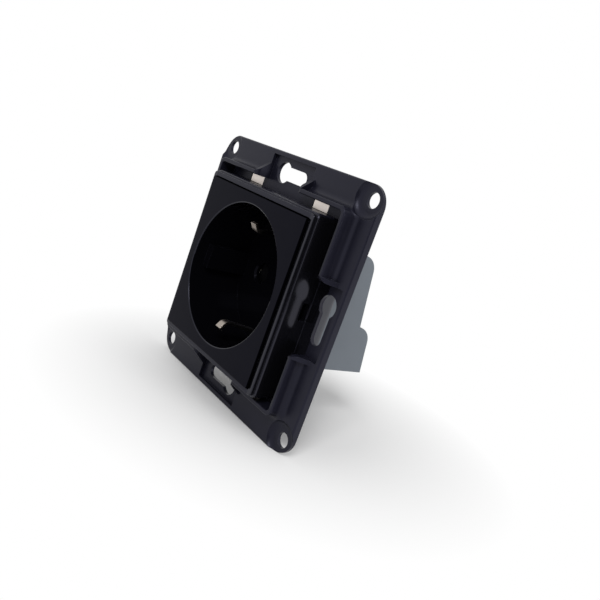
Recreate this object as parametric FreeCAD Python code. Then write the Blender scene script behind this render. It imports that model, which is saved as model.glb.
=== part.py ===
import FreeCAD
import Part
import math
import os

# Smart wall socket: a square mounting plate with a round socket well in its front and a stepped rear housing.
# X points right, Y into the wall, Z up. The origin is the centre of the plate's back face, in the wall plane.
# All sizes are in millimetres.

# Socket insert: square face, round well, screw bosses behind the face
WELL_R = 19.65
WELL_DEPTH = 17.5
WELL_WALL = 1.4
WELL_FLOOR_T = 1.6
WELL_MOUTH_R = 0.4
INSERT_RIM = 2.9
INSERT_PROUD = 1.86
INSERT_WALL = 1.2
INSERT_FACE_T = 1.6
INSERT_EDGE_R = 0.3
INSERT_RIM_R = 0.25
GUIDE_HALF = 3.4
GUIDE_REACH = 2.4
GUIDE_SET = 4.0
PIN_INSET = 10.15
PIN_HOLE_R = 2.75
PIN_FUNNEL = 0.5
BOSS_R = 2.4
BOSS_GAP = 0.5

# Collar that holds the socket insert
COLLAR_T = 1.75
COLLAR_RISE = 6.4
COLLAR_CORNER_R = 1.6
COLLAR_EDGE_R = 0.4
LIP_W = 1.25
LIP_SET = 0.78
LIP_EDGE_R = 0.2
LEDGE_W = 1.4
OPENING_CORNER_R = 2.0
LATCH_HALF = 2.2
LATCH_DEPTH = 2.0
LATCH_REACH = 0.9
LATCH_SET = 5.0

# Mounting plate: a flange round the collar, with a screw hole in a dish at each corner
FLANGE_W = 11.0
PLATE_T = 2.15
PLATE_CORNER_R = 5.5
PLATE_EDGE_R = 0.5
HOLE_SET = 3.75
HOLE_R = 2.0
DISH_R = 5.0
DISH_DEPTH = 1.2
DISH_BOWL_R = 2.0
FLOOR_T = 1.05
CHANNEL_CORNER_R = 1.0

# Keyholes for the box screws, each in a window that opens from the channel
KEY_SET = 5.65
KEY_HEAD_R = 2.95
KEY_HEAD_OFFSET = 4.1
KEY_SLOT_W = 3.7
KEY_SLOT_END = 6.2
WINDOW_HALF = 9.6
WINDOW_RIM = 1.3

# Stiffening ribs round the channel, with a sloping gusset at each window
RIB_T = 1.2
SIDE_CHANNEL_W = 3.5
TOP_CHANNEL_W = 2.5
LOW_CHANNEL_W = 1.3
RIB_RISE = 3.7
RIB_CORNER_R = 2.0
RIB_EDGE_R = 0.3
RIB_FOOT_R = 1.8
GUSSET_RUN = 3.1
RIB_END_R = 1.5

# Cup behind the plate, and the narrower rear housing on its floor, whose rear leans and steps back
HOUSING_TOP = 16.5
HOUSING_BOTTOM = -18.1
HOUSING_WALL = 1.4
HOUSING_CORNER_R = 4.8
HOUSING_EDGE_R = 0.6
REAR_DEPTH = 27.8
REAR_LEAN = math.tan(math.radians(10.5))
STEP_Z = -4.35
STEP_DEPTH = 4.5
CUP_WALL = 1.2
CUP_FLOOR_T = 1.0
CUP_CORNER_R = 4.6
CUP_REAR_R = 3.0
CUP_CLEAR = 0.25
PARTITION_T = 1.2

# Steel retaining frame behind the plate, with lugs that show in the channel
FRAME_T = 0.8
FRAME_BAND = 3.6
FRAME_CORNER_R = 9.0
LUG_PITCH = 30.0
LUG_W = 6.0
LUG_H = 2.2
LUG_LEG_W = 3.2

# Conductors and earth clips, all from one strip thickness
STRIP_T = 0.8
BEND_R = 0.9
EARTH_W = 2.3
CLIP_ROOT_IN = 4.15
CLIP_PEAK_IN = 6.45
CLIP_PEAK_SET = 3.85
CLIP_NOSE_IN = 4.4
CLIP_NOSE_SET = 2.4
CLIP_BEND_R = 1.6
CONTACT_H = 5.8
CONTACT_GRIP = 2.4
CONTACT_SEAT = 2.75
CONTACT_FLARE = 3.0
CONTACT_GRIP_SET = 2.2
CONTACT_SEAT_SET = 5.2
TONGUE_SET = 1.5
TONGUE_FOOT = -15.0
RISER_W = 2.4

# Contact carrier with the shutter pocket in its front
CARRIER_HALF_H = 4.6
CARRIER_SET = 4.4
CARRIER_WALL = 1.2
CARRIER_SIDE = 1.4
POCKET_FLOOR_T = 1.6
CHAMBER_HALF = 3.5
TAIL_SLOT_W = 3.4
RAIL_W = 1.4
RAIL_H = 1.4

# Safety shutter and its return spring
SHUTTER_T = 1.5
SHUTTER_LAP = 0.15
SHUTTER_HALF_H = 3.3
SHUTTER_TRAVEL = 6.2
SHUTTER_RAMP = 1.0
PEG_R = 0.4
PEG_H = 2.0
SPRING_R = 0.75
SPRING_WIRE_R = 0.2
SPRING_TURNS = 5

# Terminals: a screw that draws a cage along its axis, so that the wire is pressed on the tongue
TERMINAL_Z = -11.0
CAGE_GAP = 0.75
CAGE_WALL = 1.0
CAGE_END_T = 1.2
CAGE_H = 6.0
CAGE_TRAVEL = 2.1
WIRE_GAP = 3.0
WIRE_HOLE_R = 2.0
SCREW_SHARE = 0.73
HEAD_INSET = 0.6
SCREW_HEAD_T = 2.4
DRIVE_W = 0.9
DRIVE_DEPTH = 1.1

# Electronics on one board above the contacts: heights, and shares of the board's width and depth
BOARD_T = 1.2
BOARD_CORNER_R = 0.8
RELAY_H = 6.9
RELAY_SHARE = (0.437, 0.6)
POWER_H = 6.2
POWER_SHARE = (0.268, 0.654)
RADIO_H = 0.8
RADIO_SHARE = (0.148, 0.654)
RADIO_CAN_H = 1.5
CAPACITOR_SHARE = (0.232, 0.318)
VARISTOR_SHARE = (0.176, 0.15)
FUSE_SHARE = (0.176, 0.16)
PART_SPACE = 0.5
LEAD_R = 0.3

# Screws that hold the housing to the insert
CASE_SCREW_R = 1.2
CASE_HEAD_R = 2.0
CASE_HEAD_T = 1.6
CASE_SCREW_GRIP = 7.0

# Clearances
SLIP_FIT = 0.2
RUN_FIT = 0.05
SEAT_GAP = 0.1
SLIDE_FIT = 0.15
HEAD_CLEAR = 0.3

# Signs of X and Z in the four quarters of the plate
QUADRANTS = ((1, 1), (1, -1), (-1, 1), (-1, -1))

# Places worked out from the sizes above: the front, out from the well to the plate's edge
INSERT_HALF = WELL_R + INSERT_RIM
COLLAR_IN = INSERT_HALF + SLIP_FIT
COLLAR_HALF = COLLAR_IN + COLLAR_T
OPENING_HALF = COLLAR_IN - LEDGE_W
RIB_SIDE = COLLAR_HALF + SIDE_CHANNEL_W + RIB_T
RIB_TOP = COLLAR_HALF + TOP_CHANNEL_W + RIB_T
RIB_BOTTOM = COLLAR_HALF + LOW_CHANNEL_W + RIB_T
KEY_LINE = COLLAR_HALF + KEY_SET
PLATE_HALF = COLLAR_HALF + FLANGE_W
HOLE_LINE = PLATE_HALF - HOLE_SET
WINDOW_REACH = PLATE_HALF - WINDOW_RIM

# The front's depths, from the wall plane to the insert's face and back to the well's floor
FLANGE_Y = -PLATE_T
FLOOR_Y = -FLOOR_T
RIB_Y = FLANGE_Y - RIB_RISE
COLLAR_Y = FLANGE_Y - COLLAR_RISE
INSERT_Y = COLLAR_Y - INSERT_PROUD
LIP_Y = INSERT_Y + LIP_SET
WELL_FLOOR_Y = INSERT_Y + WELL_DEPTH
WELL_BACK_Y = WELL_FLOOR_Y + WELL_FLOOR_T

# The rear, out from the pins to the cup round the well
PIN_X = WELL_R - PIN_INSET
CARRIER_HALF_W = PIN_X + CHAMBER_HALF + CARRIER_SIDE
HOUSING_IN = CARRIER_HALF_W + SLIP_FIT
HOUSING_HALF = HOUSING_IN + HOUSING_WALL
CUP_IN = WELL_R + WELL_WALL + CUP_CLEAR
CUP_HALF = CUP_IN + CUP_WALL
BOSS_X = CUP_IN - BOSS_R - BOSS_GAP
CUP_FLOOR_Y = WELL_BACK_Y + SEAT_GAP
CUP_BACK_Y = CUP_FLOOR_Y + CUP_FLOOR_T

# Earth strap, carrier and shutter
CLIP_ROOT_Z = WELL_R - CLIP_ROOT_IN
CLIP_PEAK_Z = WELL_R - CLIP_PEAK_IN
CLIP_NOSE_Z = WELL_R - CLIP_NOSE_IN
WEB_Y = WELL_BACK_Y - STRIP_T / 2 - RUN_FIT
CARRIER_Y = WELL_BACK_Y + SEAT_GAP
CARRIER_END = REAR_DEPTH - CARRIER_SET
CARRIER_TOP = HOUSING_TOP - HOUSING_WALL - SLIP_FIT
POCKET_Y = CARRIER_Y + SHUTTER_T + 2 * SLIDE_FIT
CHAMBER_Y = POCKET_Y + POCKET_FLOOR_T
SHUTTER_HALF_W = PIN_X + PIN_HOLE_R + SHUTTER_LAP
SHUTTER_Y = CARRIER_Y + SLIDE_FIT
SPRING_Y = SHUTTER_Y + SHUTTER_T / 2
SPRING_FOOT = SHUTTER_HALF_H
SPRING_SEAT = CARRIER_TOP - CARRIER_WALL
CONTACT_END = CARRIER_END - SLIP_FIT

# Terminals: one below each pin, and the earth's between them
TERMINAL_PITCH = PIN_X
CAGE_HALF = TERMINAL_PITCH / 2 - PARTITION_T / 2 - CAGE_GAP
CAGE_IN = CAGE_HALF - CAGE_WALL
TONGUE_W = 2 * (CAGE_IN - SLIP_FIT)
SCREW_R = CAGE_IN * SCREW_SHARE
SCREW_HEAD_R = CAGE_HALF - HEAD_INSET
TONGUE_Y = REAR_DEPTH - TONGUE_SET
TONGUE_FRONT = TONGUE_Y - STRIP_T / 2
TONGUE_BACK = TONGUE_Y + STRIP_T / 2
CAGE_FRONT = TONGUE_FRONT - WIRE_GAP - CAGE_END_T
CAGE_BACK = TONGUE_BACK + SLIP_FIT + CAGE_END_T
HEAD_Y = CAGE_BACK + CAGE_TRAVEL + HEAD_CLEAR
CAGE_TOP = TERMINAL_Z + CAGE_H / 2
SHELF_Z = CAGE_TOP + STRIP_T + BEND_R

# Board, and the strip that climbs behind it half way to the live pin
BOARD_Z = CARRIER_HALF_H + RAIL_H
BOARD_FACE = BOARD_Z + BOARD_T
BOARD_FRONT = CHAMBER_Y + SEAT_GAP
BOARD_BACK = CARRIER_END + SLIP_FIT
BOARD_HALF = CARRIER_HALF_W - SLIP_FIT
BOARD_W = 2 * BOARD_HALF
BOARD_DEPTH = BOARD_BACK - BOARD_FRONT
RISER_X = PIN_X / 2
RISER_Y = BOARD_BACK + SLIP_FIT + STRIP_T / 2


def vec(x, y, z):
    return FreeCAD.Vector(x, y, z)


def block(x0, x1, y0, y1, z0, z1):
    return Part.makeBox(x1 - x0, y1 - y0, z1 - z0, vec(x0, y0, z0))


def rod_y(x, z, radius, y0, y1):
    return Part.makeCylinder(radius, y1 - y0, vec(x, y0, z), vec(0, 1, 0))


def rod_z(x, y, radius, z0, z1):
    return Part.makeCylinder(radius, z1 - z0, vec(x, y, z0), vec(0, 0, 1))


def rod_x(y, z, radius, x0, x1):
    return Part.makeCylinder(radius, x1 - x0, vec(x0, y, z), vec(1, 0, 0))


def slab(x0, x1, z0, z1, radius, y0, y1):
    """Plate across the wall's normal, with its four corners rounded."""
    plain = block(x0, x1, y0, y1, z0, z1)
    corners = [edge for edge in plain.Edges if abs(edge.tangentAt(edge.FirstParameter).y) > 0.9]
    return plain.makeFillet(radius, corners)


def square(half, radius, y0, y1):
    return slab(-half, half, -half, half, radius, y0, y1)


def edges_at_y(shape, y):
    """Edges that lie in one plane across the wall's normal."""
    flat = [edge for edge in shape.Edges if edge.BoundBox.YLength < 1e-6]
    return [edge for edge in flat if abs(edge.BoundBox.YMin - y) < 1e-6]


def turned(shape, degrees):
    """Copy turned about the wall's normal; 90 takes the top to the right."""
    copy = shape.copy()
    copy.rotate(vec(0, 0, 0), vec(0, 1, 0), degrees)
    return copy


def strip_side(points, offset, radii):
    """Points of one side of a bent strip: its ends, and three on the arc of each bend."""
    first = (points[1] - points[0]).normalize()
    line = [points[0] + vec(-first.y, first.x, 0) * offset]
    for before, corner, after, radius in zip(points, points[1:], points[2:], radii):
        back = (before - corner).normalize()
        ahead = (after - corner).normalize()
        middle = (back + ahead).normalize()
        half_angle = back.getAngle(ahead) / 2
        centre = corner + middle * (radius / math.sin(half_angle))
        reach = radius / math.tan(half_angle)
        left_turn = back.y * ahead.x - back.x * ahead.y > 0
        side_r = radius - offset if left_turn else radius + offset
        for point in (corner + back * reach, centre - middle * radius, corner + ahead * reach):
            line.append(centre + (point - centre) * (side_r / radius))
    last = (points[-1] - points[-2]).normalize()
    line.append(points[-1] + vec(-last.y, last.x, 0) * offset)
    return line


def side_edges(line):
    """Straight runs joined by the arcs of the bends."""
    edges = []
    for start in range(0, len(line) - 1, 3):
        edges.append(Part.LineSegment(line[start], line[start + 1]).toShape())
        if start + 3 < len(line):
            edges.append(Part.Arc(line[start + 1], line[start + 2], line[start + 3]).toShape())
    return edges


def sheet(route, low, high, plane="YZ", thick=STRIP_T, radii=None):
    """Strip of one thickness bent along a route in a plane, as wide as the span from low to high."""
    radii = radii or [BEND_R] * (len(route) - 2)
    if plane == "YZ":
        points = [vec(y, z, 0) for y, z in route]
    else:
        points = [vec(x, y, 0) for x, y in route]
    left = strip_side(points, thick / 2, radii)
    right = strip_side(points, -thick / 2, radii)
    caps = [Part.LineSegment(left[i], right[i]).toShape() for i in (0, -1)]
    outline = Part.Wire(Part.__sortEdges__(side_edges(left) + side_edges(right) + caps))
    strip = Part.Face(outline).extrude(vec(0, 0, high - low))
    if plane == "YZ":
        strip.rotate(vec(0, 0, 0), vec(1, 1, 1), 120)
        strip.translate(vec(low, 0, 0))
    else:
        strip.translate(vec(0, 0, low))
    return strip


def keyhole():
    """Cutter for the top keyhole: a round for the screw's head, and a slot to its right."""
    line = KEY_LINE
    half = KEY_SLOT_W / 2
    slot_middle = KEY_SLOT_END - half
    head = rod_y(-KEY_HEAD_OFFSET, line, KEY_HEAD_R, FLANGE_Y, 0)
    slot = block(-KEY_HEAD_OFFSET, slot_middle, FLANGE_Y, 0, line - half, line + half)
    end = rod_y(slot_middle, line, half, FLANGE_Y, 0)
    return head.fuse([slot, end])


def gussets(out):
    """Wedges at both ends of the right rib's window, sloping from the rib's edge down to the flange."""
    profile = [vec(out - RIB_T, FLOOR_Y, 0), vec(out - RIB_T, RIB_Y, 0), vec(out, RIB_Y, 0)]
    profile += [vec(out + GUSSET_RUN, FLANGE_Y, 0), vec(out + GUSSET_RUN, FLOOR_Y, 0)]
    upper = Part.Face(Part.makePolygon(profile + profile[:1])).extrude(vec(0, 0, RIB_T))
    upper.translate(vec(0, 0, WINDOW_HALF))
    lower = upper.copy()
    lower.translate(vec(0, 0, -2 * WINDOW_HALF - RIB_T))
    return [upper, lower]


def rib_end_rounds(out):
    """Cutters that round both ends of the right rib where its window starts."""
    start = vec(out - RIB_T, RIB_Y + RIB_END_R, WINDOW_HALF + RIB_END_R)
    length = RIB_T + GUSSET_RUN
    corner = block(start.x, start.x + length, RIB_Y, start.y, WINDOW_HALF, start.z)
    upper = corner.cut(Part.makeCylinder(RIB_END_R, length, start, vec(1, 0, 0)))
    return [upper, upper.mirror(vec(0, 0, 0), vec(0, 0, 1))]


def ribs():
    """Four corner pieces of the frame of ribs, and the gussets between them."""
    side = RIB_SIDE - RIB_T
    ring = slab(-RIB_SIDE, RIB_SIDE, -RIB_BOTTOM, RIB_TOP, RIB_CORNER_R, RIB_Y, FLOOR_Y)
    ring = ring.cut(slab(-side, side, RIB_T - RIB_BOTTOM, RIB_TOP - RIB_T, CHANNEL_CORNER_R, RIB_Y, FLOOR_Y))
    across = block(-RIB_SIDE, RIB_SIDE, RIB_Y, FLOOR_Y, -WINDOW_HALF, WINDOW_HALF)
    upright = block(-WINDOW_HALF, WINDOW_HALF, RIB_Y, FLOOR_Y, -RIB_BOTTOM, RIB_TOP)
    corners = ring.cut([across, upright]).Solids
    made = [corner.makeFillet(RIB_EDGE_R, edges_at_y(corner, RIB_Y)) for corner in corners]
    rounds = []
    for quarter, out in enumerate((RIB_SIDE, RIB_BOTTOM, RIB_SIDE, RIB_TOP)):
        made += [turned(wedge, quarter * 90) for wedge in gussets(out)]
        rounds += [turned(cutter, quarter * 90) for cutter in rib_end_rounds(out)]
    return [piece.cut(rounds) for piece in made]


def foot_edges(body):
    """Edges where the outer sides of the ribs meet the flange."""
    feet = []
    for edge in edges_at_y(body, FLANGE_Y):
        middle = edge.valueAt((edge.FirstParameter + edge.LastParameter) / 2)
        beyond_x = abs(middle.x) - (RIB_SIDE - RIB_CORNER_R)
        beyond_z = max(middle.z - RIB_TOP, -middle.z - RIB_BOTTOM) + RIB_CORNER_R
        outline = math.hypot(max(beyond_x, 0), max(beyond_z, 0))
        if abs(outline - RIB_CORNER_R) < SLIP_FIT:
            feet.append(edge)
    return feet


def dish(x, z):
    """Cutter for a corner's hole and its dish: a bowl that rounds from its rim to a flat floor."""
    floor_y = FLANGE_Y + DISH_DEPTH
    centre_y = floor_y - DISH_BOWL_R
    sweep = math.acos(1 - DISH_DEPTH / DISH_BOWL_R)
    floor_r = DISH_R - DISH_BOWL_R * math.sin(sweep)
    half = sweep / 2
    middle = vec(floor_r + DISH_BOWL_R * math.sin(half), centre_y + DISH_BOWL_R * math.cos(half), 0)
    rim = vec(DISH_R, FLANGE_Y, 0)
    foot = vec(floor_r, floor_y, 0)
    route = [foot, vec(HOLE_R, floor_y, 0), vec(HOLE_R, 0, 0), vec(0, 0, 0)]
    route += [vec(0, FLANGE_Y - RIB_FOOT_R, 0), vec(DISH_R, FLANGE_Y - RIB_FOOT_R, 0), rim]
    bowl = Part.Arc(rim, middle, foot).toShape()
    outline = Part.Wire([bowl] + Part.makePolygon(route).Edges)
    cutter = Part.Face(outline).revolve(vec(0, 0, 0), vec(0, 1, 0), 360)
    cutter.translate(vec(x, 0, z))
    return cutter


def lug_places():
    """Centres of the frame's lugs: left and right above the collar, and the same below."""
    return [(x * LUG_PITCH / 2, z) for x, z in QUADRANTS]


def collar():
    """Square wall round the insert, with a raised lip inside its rounded outer edge."""
    wall = square(COLLAR_HALF, COLLAR_CORNER_R, COLLAR_Y, 0)
    wall = wall.makeFillet(COLLAR_EDGE_R, edges_at_y(wall, COLLAR_Y))
    step = COLLAR_T - LIP_W
    lip = square(COLLAR_HALF - step, COLLAR_CORNER_R - step, LIP_Y, 0)
    return wall.fuse(lip.makeFillet(LIP_EDGE_R, edges_at_y(lip, LIP_Y)))


def mounting_plate():
    flange = square(PLATE_HALF, PLATE_CORNER_R, FLANGE_Y, 0)
    flange = flange.makeFillet(PLATE_EDGE_R, edges_at_y(flange, FLANGE_Y))
    side = RIB_SIDE - RIB_T
    low = RIB_T - RIB_BOTTOM
    recesses = [slab(-side, side, low, RIB_TOP - RIB_T, CHANNEL_CORNER_R, FLANGE_Y, FLOOR_Y)]
    window = block(-WINDOW_HALF, WINDOW_HALF, FLANGE_Y, FLOOR_Y, COLLAR_HALF, WINDOW_REACH)
    recesses += [turned(window, quarter * 90) for quarter in range(4)]
    body = flange.cut(recesses).fuse(ribs() + [collar()]).removeSplitter()
    body = body.makeFillet(RIB_FOOT_R, foot_edges(body))
    cuts = [square(COLLAR_IN, INSERT_EDGE_R + SLIP_FIT, LIP_Y, FLOOR_Y)]
    cuts.append(square(OPENING_HALF, OPENING_CORNER_R, FLOOR_Y, 0))
    cuts += [turned(keyhole(), quarter * 90) for quarter in range(4)]
    cuts += [dish(x * HOLE_LINE, z * HOLE_LINE) for x, z in QUADRANTS]
    for x, sign_z in lug_places():
        reach = LUG_W / 2 + SLIP_FIT
        near = COLLAR_HALF
        far = COLLAR_HALF + LUG_H + FRAME_T + 2 * SEAT_GAP
        cuts.append(block(x - reach, x + reach, FLOOR_Y, 0, min(sign_z * near, sign_z * far),
                          max(sign_z * near, sign_z * far)))
    half = LATCH_HALF + SLIP_FIT
    latch_y = COLLAR_Y + LATCH_SET
    latch_end = latch_y + LATCH_DEPTH
    cuts.append(block(-COLLAR_HALF, COLLAR_HALF, latch_y - SLIP_FIT, latch_end + SLIP_FIT, -half, half))
    return body.cut(cuts).removeSplitter()


def latch_nose(sign):
    """Wedge on the insert's skirt that snaps into the collar's window."""
    front = COLLAR_Y + LATCH_SET
    back = front + LATCH_DEPTH
    inner = sign * (INSERT_HALF - INSERT_WALL)
    tip = sign * (INSERT_HALF + LATCH_REACH)
    base = sign * INSERT_HALF
    profile = [vec(inner, front, 0), vec(tip, front, 0), vec(base, back, 0), vec(inner, back, 0)]
    nose = Part.Face(Part.makePolygon(profile + profile[:1])).extrude(vec(0, 0, 2 * LATCH_HALF))
    nose.translate(vec(0, 0, -LATCH_HALF))
    return nose


def socket_insert():
    face = square(INSERT_HALF, INSERT_EDGE_R, INSERT_Y, FLOOR_Y)
    face = face.makeFillet(INSERT_RIM_R, edges_at_y(face, INSERT_Y))
    skirt_in = INSERT_HALF - INSERT_WALL
    shell = face.cut(square(skirt_in, INSERT_EDGE_R, INSERT_Y + INSERT_FACE_T, FLOOR_Y))
    tube = rod_y(0, 0, WELL_R + WELL_WALL, INSERT_Y, WELL_BACK_Y)
    bosses = [rod_y(x * BOSS_X, z * BOSS_X, BOSS_R, INSERT_Y, WELL_BACK_Y) for x, z in QUADRANTS]
    noses = [latch_nose(1), latch_nose(-1)]
    body = shell.fuse([tube] + bosses + noses)
    well = rod_y(0, 0, WELL_R, INSERT_Y, WELL_FLOOR_Y)
    guide_zone = rod_y(0, 0, WELL_R + WELL_WALL / 2, INSERT_Y + GUIDE_SET, WELL_FLOOR_Y)
    guide_in = WELL_R - GUIDE_REACH
    guide_out = WELL_R + WELL_WALL
    guides = [block(guide_in, guide_out, INSERT_Y, WELL_FLOOR_Y, -GUIDE_HALF, GUIDE_HALF).common(guide_zone)]
    guides.append(turned(guides[0], 180))
    body = body.cut(well).fuse(guides)
    body = body.makeFillet(WELL_MOUTH_R, mouth_edges(body))
    cuts = []
    for sign in (1, -1):
        cuts.append(rod_y(sign * PIN_X, 0, PIN_HOLE_R, WELL_FLOOR_Y, WELL_BACK_Y))
        funnel_r = PIN_HOLE_R + PIN_FUNNEL
        mouth = vec(sign * PIN_X, WELL_FLOOR_Y, 0)
        cuts.append(Part.makeCone(funnel_r, PIN_HOLE_R, PIN_FUNNEL, mouth, vec(0, 1, 0)))
    half = EARTH_W / 2 + SLIP_FIT
    outer = CLIP_ROOT_Z + STRIP_T / 2 + SLIP_FIT
    inner = CLIP_ROOT_Z - STRIP_T / 2 - BEND_R
    cuts.append(block(-half, half, WEB_Y - STRIP_T / 2 - RUN_FIT, WELL_BACK_Y, -outer, outer))
    cuts.append(block(-half, half, WELL_FLOOR_Y, WELL_BACK_Y, inner, outer))
    cuts.append(block(-half, half, WELL_FLOOR_Y, WELL_BACK_Y, -outer, -inner))
    pilot = CASE_SCREW_R + RUN_FIT
    pilot_end = WELL_BACK_Y - CASE_SCREW_GRIP - SLIP_FIT
    cuts += [rod_y(x * BOSS_X, z * BOSS_X, pilot, pilot_end, WELL_BACK_Y) for x, z in QUADRANTS]
    return body.cut(cuts).removeSplitter()


def mouth_edges(body):
    """Round edge of the well in the front face."""
    rounds = [edge for edge in edges_at_y(body, INSERT_Y) if isinstance(edge.Curve, Part.Circle)]
    return [edge for edge in rounds if edge.Curve.Radius > INSERT_EDGE_R]


def rear_profile(inset):
    """Side outline of the rear body, drawn in by a wall: leaning rear, with a deeper lower block."""
    def rear(depth, z):
        return depth - REAR_LEAN * z - inset * math.hypot(1, REAR_LEAN)

    top = HOUSING_TOP - inset
    bottom = HOUSING_BOTTOM + inset
    step = STEP_Z - inset
    deep = REAR_DEPTH + STEP_DEPTH
    front = CUP_FLOOR_Y
    corners = [(front, top), (rear(REAR_DEPTH, top), top), (rear(REAR_DEPTH, step), step)]
    corners += [(rear(deep, step), step), (rear(deep, bottom), bottom), (front, bottom)]
    return corners


def rear_body(inset):
    half = HOUSING_HALF - inset
    corners = rear_profile(inset)
    points = [vec(-half, y, z) for y, z in corners]
    solid = Part.Face(Part.makePolygon(points + points[:1])).extrude(vec(2 * half, 0, 0))
    rounded = []
    for y, z in (corners[1], corners[3]):
        rounded += [edge for edge in solid.Edges if edge.CenterOfMass.distanceToPoint(vec(0, y, z)) < 1e-6]
    solid = solid.makeFillet(HOUSING_CORNER_R - inset, rounded)
    return solid


def terminal_places():
    return {"live": -TERMINAL_PITCH, "earth": 0.0, "neutral": TERMINAL_PITCH}


def well_cup():
    """Cup round the well, screwed to the insert, with an opening in its floor for the rear housing."""
    cup = square(CUP_HALF, CUP_CORNER_R, 0, CUP_BACK_Y)
    cup = cup.makeFillet(CUP_REAR_R, edges_at_y(cup, CUP_BACK_Y))
    cuts = [square(CUP_IN, CUP_CORNER_R - CUP_WALL, 0, CUP_FLOOR_Y)]
    cuts.append(rear_body(HOUSING_WALL / 2 - RUN_FIT))
    pass_r = CASE_SCREW_R + SLIP_FIT
    cuts += [rod_y(x * BOSS_X, z * BOSS_X, pass_r, CUP_FLOOR_Y, CUP_BACK_Y) for x, z in QUADRANTS]
    return cup.cut(cuts).removeSplitter()


def terminal_partitions():
    """Walls between the terminals, rooted in the lower and the rear wall of the housing."""
    room = rear_body(HOUSING_WALL / 2)
    walls = []
    for sign in (1, -1):
        x = sign * TERMINAL_PITCH / 2
        low = HOUSING_BOTTOM + HOUSING_WALL / 2
        deep = REAR_DEPTH + 2 * STEP_DEPTH
        wall = block(x - PARTITION_T / 2, x + PARTITION_T / 2, CAGE_FRONT, deep, low, CAGE_TOP)
        walls.append(wall.common(room))
    return walls


def rear_housing():
    """Shell on the cup's floor; the inner half of its wall is a spigot in the floor's opening."""
    shoulder = block(-CUP_HALF, CUP_HALF, CUP_FLOOR_Y, CUP_BACK_Y, -CUP_HALF, CUP_HALF)
    outer = rear_body(0).cut(shoulder)
    behind_cup = [edge for edge in outer.Edges if edge.BoundBox.YMax > CUP_BACK_Y + HOUSING_EDGE_R]
    flat_sides = [edge for edge in behind_cup if edge.BoundBox.XLength < 1e-6]
    rear_sides = [edge for edge in flat_sides if edge.BoundBox.YMin > CUP_BACK_Y + HOUSING_EDGE_R]
    outer = outer.makeFillet(HOUSING_EDGE_R, rear_sides)
    spigot = rear_body(HOUSING_WALL / 2).common(shoulder)
    body = outer.fuse(spigot).cut(rear_body(HOUSING_WALL)).fuse(terminal_partitions())
    cuts = []
    for x in terminal_places().values():
        cuts.append(rod_y(x, TERMINAL_Z, SCREW_HEAD_R + HEAD_CLEAR, HEAD_Y, REAR_DEPTH + 3 * STEP_DEPTH))
        wire_y = TONGUE_FRONT - WIRE_GAP / 2
        cuts.append(rod_z(x, wire_y, WIRE_HOLE_R, HOUSING_BOTTOM, HOUSING_BOTTOM + HOUSING_WALL))
    return body.cut(cuts).removeSplitter()


def retaining_frame():
    inner = CUP_HALF + SLIP_FIT
    outer = inner + FRAME_BAND
    body = square(outer, FRAME_CORNER_R, 0, FRAME_T).cut(square(inner, CUP_CORNER_R, 0, FRAME_T))
    front = FLOOR_Y + RUN_FIT
    for x, sign_z in lug_places():
        low = COLLAR_HALF + SEAT_GAP
        high = low + LUG_H
        flap = block(x - LUG_W / 2, x + LUG_W / 2, front, front + FRAME_T, low, high)
        side = math.copysign(1, x)
        leg_x = sorted((x + side * LUG_W / 2, x + side * (LUG_W / 2 - LUG_LEG_W)))
        leg = block(leg_x[0], leg_x[1], front, FRAME_T, high - SEAT_GAP, high + FRAME_T)
        root = block(leg_x[0], leg_x[1], 0, FRAME_T, inner, high + FRAME_T)
        lug = flap.fuse([leg, root])
        body = body.fuse(lug if sign_z > 0 else lug.mirror(vec(0, 0, 0), vec(0, 0, 1)))
    return body.removeSplitter()


def earth_strap():
    """One bent strip: a web behind the well's floor, and a springy clip at the well's top and bottom."""
    peak_y = INSERT_Y + CLIP_PEAK_SET
    nose_y = INSERT_Y + CLIP_NOSE_SET
    clip = [(nose_y, CLIP_NOSE_Z), (peak_y, CLIP_PEAK_Z), (WEB_Y, CLIP_ROOT_Z)]
    route = [(y, -z) for y, z in clip] + clip[::-1]
    return sheet(route, -EARTH_W / 2, EARTH_W / 2, radii=[CLIP_BEND_R, BEND_R, BEND_R, CLIP_BEND_R])


def contact_clip(sign_x, web_sign):
    """Two leaves that grip the pin, joined by a web above or below it."""
    x = sign_x * PIN_X
    mouth = CHAMBER_Y + SLIP_FIT
    half = CONTACT_H / 2
    leaves = []
    for side in (1, -1):
        route = [(x + side * CONTACT_FLARE, mouth), (x + side * CONTACT_GRIP, mouth + CONTACT_GRIP_SET)]
        route += [(x + side * CONTACT_SEAT, mouth + CONTACT_SEAT_SET), (x + side * CONTACT_SEAT, CONTACT_END)]
        leaves.append(sheet(route, -half, half, plane="XY"))
    reach = CONTACT_SEAT + STRIP_T / 2
    web_z = web_sign * half
    web = block(x - reach, x + reach, mouth + CONTACT_SEAT_SET, CONTACT_END,
                min(web_z, web_z - web_sign * STRIP_T / 2), max(web_z, web_z - web_sign * STRIP_T / 2))
    return leaves[0].fuse([leaves[1], web])


def neutral_contact():
    """Contact and terminal tongue in one piece: the web runs back and turns down into the terminal."""
    half = TONGUE_W / 2
    web_z = -CONTACT_H / 2
    route = [(CONTACT_END - CONTACT_SEAT_SET, web_z), (TONGUE_Y, web_z), (TONGUE_Y, TONGUE_FOOT)]
    tongue = sheet(route, PIN_X - half, PIN_X + half)
    return contact_clip(1, -1).fuse(tongue).removeSplitter()


def live_contact():
    """Contact whose tail stands up through the carrier to the board."""
    tail_y = CONTACT_END - RISER_W / 2
    half = RISER_W / 2
    thick = STRIP_T / 2
    foot = CONTACT_H / 2 - thick
    tail = block(-PIN_X - half, -PIN_X + half, tail_y - thick, tail_y + thick, foot, BOARD_FACE)
    return contact_clip(-1, 1).fuse(tail).removeSplitter()


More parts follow.
